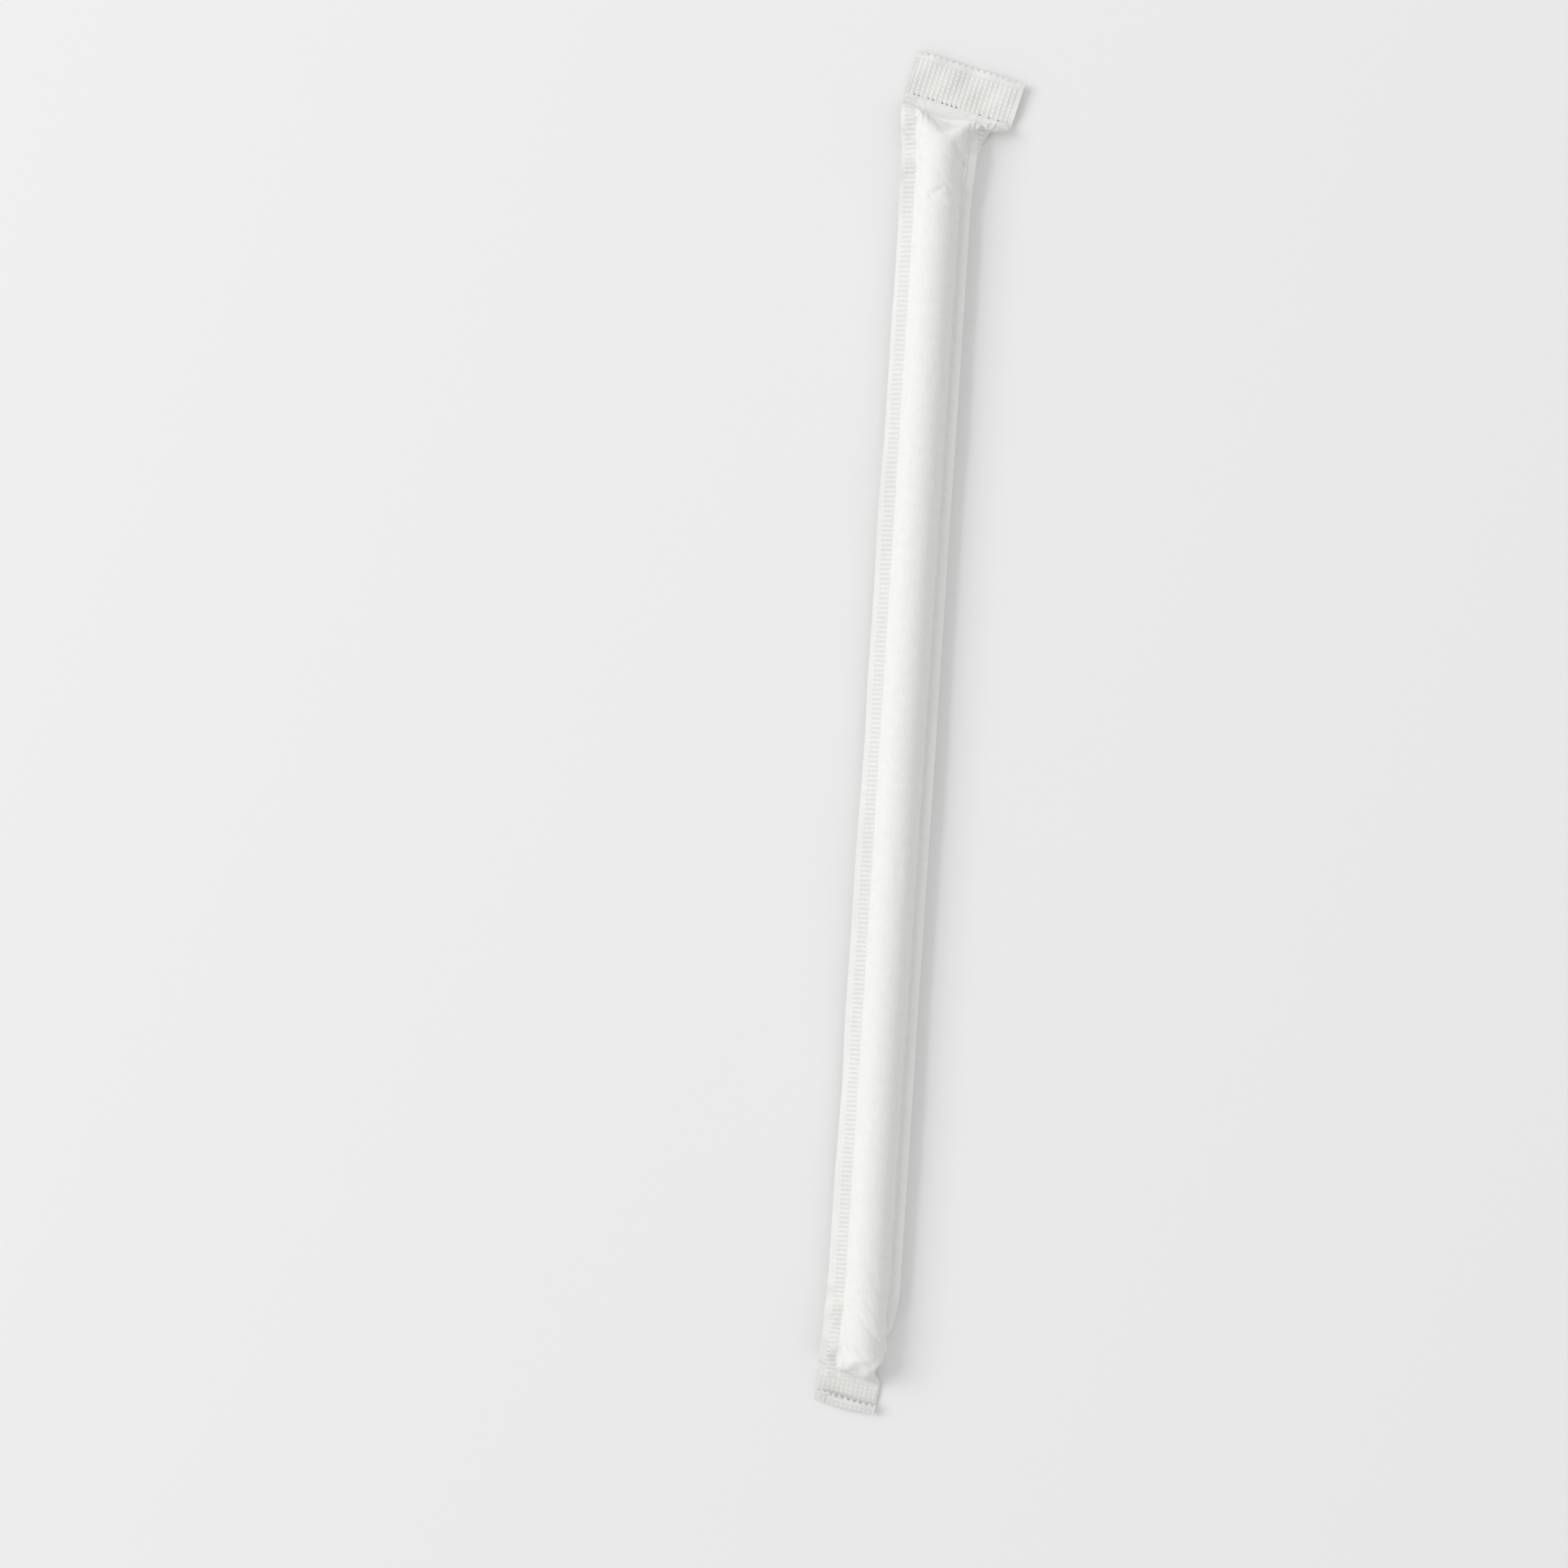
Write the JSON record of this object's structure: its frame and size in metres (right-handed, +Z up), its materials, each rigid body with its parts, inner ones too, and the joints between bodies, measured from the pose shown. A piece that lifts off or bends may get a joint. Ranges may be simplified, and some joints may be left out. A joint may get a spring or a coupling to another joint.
{
  "type": "wrapped drinking straw",
  "caption": "Drinking straw sealed in thin white paper, with ladder-crimped side seams and flat waffle-crimped ends cut with a toothed edge, lying on its side.",
  "frame": {"origin": "on the table, below the straw's axis at the middle of its length", "axes": "+Y along the straw towards the end whose tail lies open, +Z up, +X towards the seam that is folded under"},
  "size_m": [0.0199, 0.22, 0.0064],
  "materials": {
    "wrapper_paper": "matt thin white paper with pressed crimps"
  },
  "bodies": {
    "root": {"wrapped_straw": "wrapper_paper"}
  },
  "joints": []
}
